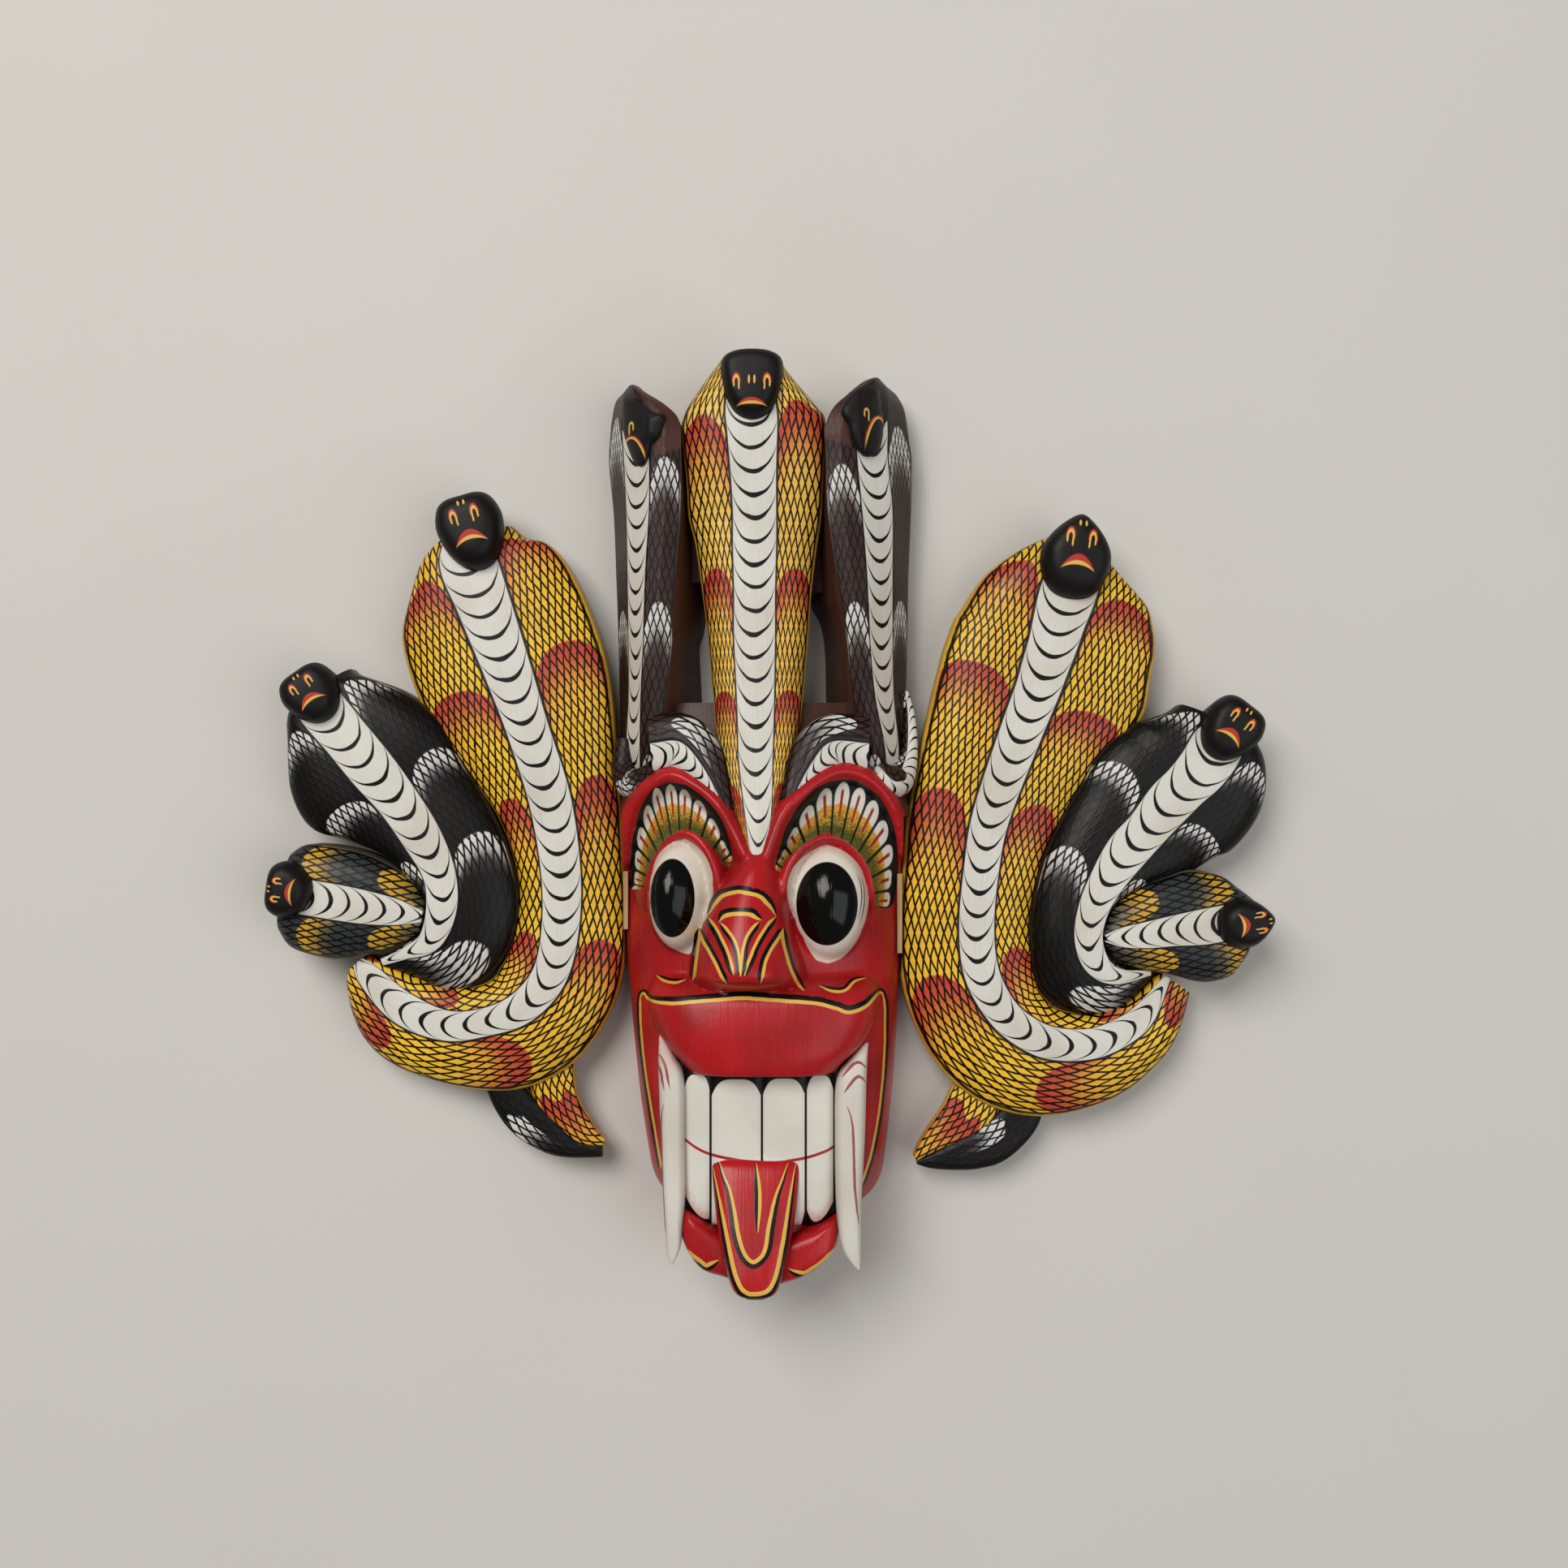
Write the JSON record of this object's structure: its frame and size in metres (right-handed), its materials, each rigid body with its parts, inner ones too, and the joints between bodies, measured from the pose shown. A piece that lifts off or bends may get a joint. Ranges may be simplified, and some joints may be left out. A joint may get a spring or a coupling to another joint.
{
  "type": "carved cobra raksha mask",
  "caption": "Carved wooden demon mask with a hollow back, a crown of cobras, round eyes, long tongue and tusks, and a spread cobra wing glued to each side of the face.",
  "frame": {"origin": "on the flat back of the face, below the middle of the whole outline", "axes": "+X to the viewer's right across the wings, +Y up the face to the crown, +Z out of the face"},
  "size_m": [0.4177, 0.3778, 0.079],
  "materials": {
    "face_paint": "semi-gloss enamel, red with white, black and yellow detail",
    "left_wing_paint": "semi-gloss enamel, yellow and black scales with white bellies",
    "right_wing_paint": "semi-gloss enamel, yellow and black scales with white bellies"
  },
  "bodies": {
    "root": {"face_and_crown": "face_paint", "left_cobra_wing": "left_wing_paint", "right_cobra_wing": "right_wing_paint"}
  },
  "joints": []
}
